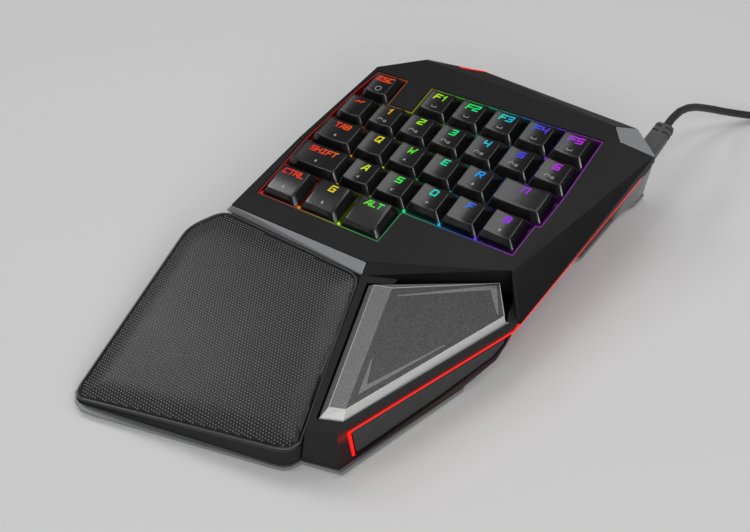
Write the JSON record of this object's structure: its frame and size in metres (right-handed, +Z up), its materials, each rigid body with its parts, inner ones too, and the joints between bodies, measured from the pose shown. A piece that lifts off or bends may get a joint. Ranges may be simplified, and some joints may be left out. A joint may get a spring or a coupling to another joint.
{
  "type": "gaming keypad",
  "caption": "One-handed keypad for games: a tilted deck of sprung keys, a hinged thumb key, a textured palm rest and a corded plug.",
  "frame": {"origin": "middle of the underside of the keypad's box, without the lead, on the table", "axes": "+X to the right, +Y from the palm rest to the back where the lead leaves, +Z up"},
  "size_m": [0.3245, 0.3482, 0.0478],
  "materials": {
    "satin_shell": "satin black moulding",
    "gloss_key": "smooth glossy black",
    "textured_pad": "fine dotted texture",
    "rubber_grip": "matte rubber",
    "bright_trim": "silver, satin",
    "bright_plate": "silver, satin",
    "steel": "plain steel",
    "thumb_metallic": "metallic grey with a fine fleck",
    "red_light_guide": "lit red light guide",
    "clear_light_guide": "lit clear light guide",
    "silicone": "milky silicone",
    "printed_film": "clear printed film",
    "board": "green lacquer",
    "lead_sheath": "black sheath",
    "plug_body": "matte black moulding",
    "switch_body": "matte black moulding",
    "tie_strap": "black strap",
    "relief_rubber": "matte grey-black"
  },
  "bodies": {
    "case": {"back_plate": "steel", "base_plate": "bright_plate", "bottom_shell": "satin_shell", "cable": "lead_sheath", "cable_coil": "lead_sheath", "cable_gland": "relief_rubber", "cable_tie": "tie_strap", "case_screw_left": "steel", "case_screw_right": "steel", "circuit_board": "board", "contact_sheet": "printed_film", "corner_trim": "bright_trim", "dome_sheet": "silicone", "front_trim": "bright_trim", "grip_front": "rubber_grip", "grip_rear_left": "rubber_grip", "grip_rear_right": "rubber_grip", "key_frame": "steel", "plug_grip": "plug_body", "plug_shell": "steel", "rear_leg": "bright_trim", "rest_pad": "textured_pad", "rest_shell": "satin_shell", "rim_light": "clear_light_guide", "side_light": "red_light_guide", "thumb_housing": "satin_shell", "thumb_insert": "thumb_metallic", "thumb_pin": "steel", "thumb_spring": "steel", "thumb_switch": "switch_body", "top_shell": "satin_shell"},
    "key_accent": {"key_accent": "gloss_key"},
    "key_alt": {"key_alt": "gloss_key"},
    "key_a": {"key_a": "gloss_key"},
    "key_b": {"key_b": "gloss_key"},
    "key_ctrl": {"key_ctrl": "gloss_key"},
    "key_d": {"key_d": "gloss_key"},
    "key_e": {"key_e": "gloss_key"},
    "key_escape": {"key_escape": "gloss_key"},
    "key_f": {"key_f": "gloss_key"},
    "key_f1": {"key_f1": "gloss_key"},
    "key_f2": {"key_f2": "gloss_key"},
    "key_f3": {"key_f3": "gloss_key"},
    "key_f4": {"key_f4": "gloss_key"},
    "key_f5": {"key_f5": "gloss_key"},
    "key_g": {"key_g": "gloss_key"},
    "key_q": {"key_q": "gloss_key"},
    "key_r": {"key_r": "gloss_key"},
    "key_s": {"key_s": "gloss_key"},
    "key_shift": {"key_shift": "gloss_key"},
    "key_tab": {"key_tab": "gloss_key"},
    "key_w": {"key_w": "gloss_key"},
    "key_wide": {"key_wide": "gloss_key"},
    "key_1": {"key_1": "gloss_key"},
    "key_2": {"key_2": "gloss_key"},
    "key_3": {"key_3": "gloss_key"},
    "key_4": {"key_4": "gloss_key"},
    "key_5": {"key_5": "gloss_key"},
    "key_6": {"key_6": "gloss_key"},
    "thumb_key": {"thumb_key": "thumb_metallic"}
  },
  "joints": [
    {"name": "key_accent_press", "type": "slide", "parent": "case", "child": "key_accent", "axis": [-0.0603, -0.1132, 0.9917], "range_m": [-0.003, 0], "stiffness_N_per_m": 120, "springref_m": 0.002},
    {"name": "key_alt_press", "type": "slide", "parent": "case", "child": "key_alt", "axis": [-0.0603, -0.1132, 0.9917], "range_m": [-0.003, 0], "stiffness_N_per_m": 120, "springref_m": 0.002},
    {"name": "key_a_press", "type": "slide", "parent": "case", "child": "key_a", "axis": [-0.0603, -0.1132, 0.9917], "range_m": [-0.003, 0], "stiffness_N_per_m": 120, "springref_m": 0.002},
    {"name": "key_b_press", "type": "slide", "parent": "case", "child": "key_b", "axis": [-0.0603, -0.1132, 0.9917], "range_m": [-0.003, 0], "stiffness_N_per_m": 120, "springref_m": 0.002},
    {"name": "key_ctrl_press", "type": "slide", "parent": "case", "child": "key_ctrl", "axis": [-0.0603, -0.1132, 0.9917], "range_m": [-0.003, 0], "stiffness_N_per_m": 120, "springref_m": 0.002},
    {"name": "key_d_press", "type": "slide", "parent": "case", "child": "key_d", "axis": [-0.0603, -0.1132, 0.9917], "range_m": [-0.003, 0], "stiffness_N_per_m": 120, "springref_m": 0.002},
    {"name": "key_e_press", "type": "slide", "parent": "case", "child": "key_e", "axis": [-0.0603, -0.1132, 0.9917], "range_m": [-0.003, 0], "stiffness_N_per_m": 120, "springref_m": 0.002},
    {"name": "key_escape_press", "type": "slide", "parent": "case", "child": "key_escape", "axis": [-0.0603, -0.1132, 0.9917], "range_m": [-0.003, 0], "stiffness_N_per_m": 120, "springref_m": 0.002},
    {"name": "key_f_press", "type": "slide", "parent": "case", "child": "key_f", "axis": [-0.0603, -0.1132, 0.9917], "range_m": [-0.003, 0], "stiffness_N_per_m": 120, "springref_m": 0.002},
    {"name": "key_f1_press", "type": "slide", "parent": "case", "child": "key_f1", "axis": [-0.0603, -0.1132, 0.9917], "range_m": [-0.003, 0], "stiffness_N_per_m": 120, "springref_m": 0.002},
    {"name": "key_f2_press", "type": "slide", "parent": "case", "child": "key_f2", "axis": [-0.0603, -0.1132, 0.9917], "range_m": [-0.003, 0], "stiffness_N_per_m": 120, "springref_m": 0.002},
    {"name": "key_f3_press", "type": "slide", "parent": "case", "child": "key_f3", "axis": [-0.0603, -0.1132, 0.9917], "range_m": [-0.003, 0], "stiffness_N_per_m": 120, "springref_m": 0.002},
    {"name": "key_f4_press", "type": "slide", "parent": "case", "child": "key_f4", "axis": [-0.0603, -0.1132, 0.9917], "range_m": [-0.003, 0], "stiffness_N_per_m": 120, "springref_m": 0.002},
    {"name": "key_f5_press", "type": "slide", "parent": "case", "child": "key_f5", "axis": [-0.0603, -0.1132, 0.9917], "range_m": [-0.003, 0], "stiffness_N_per_m": 120, "springref_m": 0.002},
    {"name": "key_g_press", "type": "slide", "parent": "case", "child": "key_g", "axis": [-0.0603, -0.1132, 0.9917], "range_m": [-0.003, 0], "stiffness_N_per_m": 120, "springref_m": 0.002},
    {"name": "key_q_press", "type": "slide", "parent": "case", "child": "key_q", "axis": [-0.0603, -0.1132, 0.9917], "range_m": [-0.003, 0], "stiffness_N_per_m": 120, "springref_m": 0.002},
    {"name": "key_r_press", "type": "slide", "parent": "case", "child": "key_r", "axis": [-0.0603, -0.1132, 0.9917], "range_m": [-0.003, 0], "stiffness_N_per_m": 120, "springref_m": 0.002},
    {"name": "key_s_press", "type": "slide", "parent": "case", "child": "key_s", "axis": [-0.0603, -0.1132, 0.9917], "range_m": [-0.003, 0], "stiffness_N_per_m": 120, "springref_m": 0.002},
    {"name": "key_shift_press", "type": "slide", "parent": "case", "child": "key_shift", "axis": [-0.0603, -0.1132, 0.9917], "range_m": [-0.003, 0], "stiffness_N_per_m": 120, "springref_m": 0.002},
    {"name": "key_tab_press", "type": "slide", "parent": "case", "child": "key_tab", "axis": [-0.0603, -0.1132, 0.9917], "range_m": [-0.003, 0], "stiffness_N_per_m": 120, "springref_m": 0.002},
    {"name": "key_w_press", "type": "slide", "parent": "case", "child": "key_w", "axis": [-0.0603, -0.1132, 0.9917], "range_m": [-0.003, 0], "stiffness_N_per_m": 120, "springref_m": 0.002},
    {"name": "key_wide_press", "type": "slide", "parent": "case", "child": "key_wide", "axis": [-0.0603, -0.1132, 0.9917], "range_m": [-0.003, 0], "stiffness_N_per_m": 120, "springref_m": 0.002},
    {"name": "key_1_press", "type": "slide", "parent": "case", "child": "key_1", "axis": [-0.0603, -0.1132, 0.9917], "range_m": [-0.003, 0], "stiffness_N_per_m": 120, "springref_m": 0.002},
    {"name": "key_2_press", "type": "slide", "parent": "case", "child": "key_2", "axis": [-0.0603, -0.1132, 0.9917], "range_m": [-0.003, 0], "stiffness_N_per_m": 120, "springref_m": 0.002},
    {"name": "key_3_press", "type": "slide", "parent": "case", "child": "key_3", "axis": [-0.0603, -0.1132, 0.9917], "range_m": [-0.003, 0], "stiffness_N_per_m": 120, "springref_m": 0.002},
    {"name": "key_4_press", "type": "slide", "parent": "case", "child": "key_4", "axis": [-0.0603, -0.1132, 0.9917], "range_m": [-0.003, 0], "stiffness_N_per_m": 120, "springref_m": 0.002},
    {"name": "key_5_press", "type": "slide", "parent": "case", "child": "key_5", "axis": [-0.0603, -0.1132, 0.9917], "range_m": [-0.003, 0], "stiffness_N_per_m": 120, "springref_m": 0.002},
    {"name": "key_6_press", "type": "slide", "parent": "case", "child": "key_6", "axis": [-0.0603, -0.1132, 0.9917], "range_m": [-0.003, 0], "stiffness_N_per_m": 120, "springref_m": 0.002},
    {"name": "thumb_key_press", "type": "hinge", "parent": "case", "child": "thumb_key", "pos_m": [0.03023, -0.05806, 0.0195], "axis": [0.28, -0.96, 0], "range_deg": [-4, 0], "stiffness_Nm_per_rad": 0.15, "springref_deg": 4.58, "deforming": ["thumb_spring"]}
  ]
}
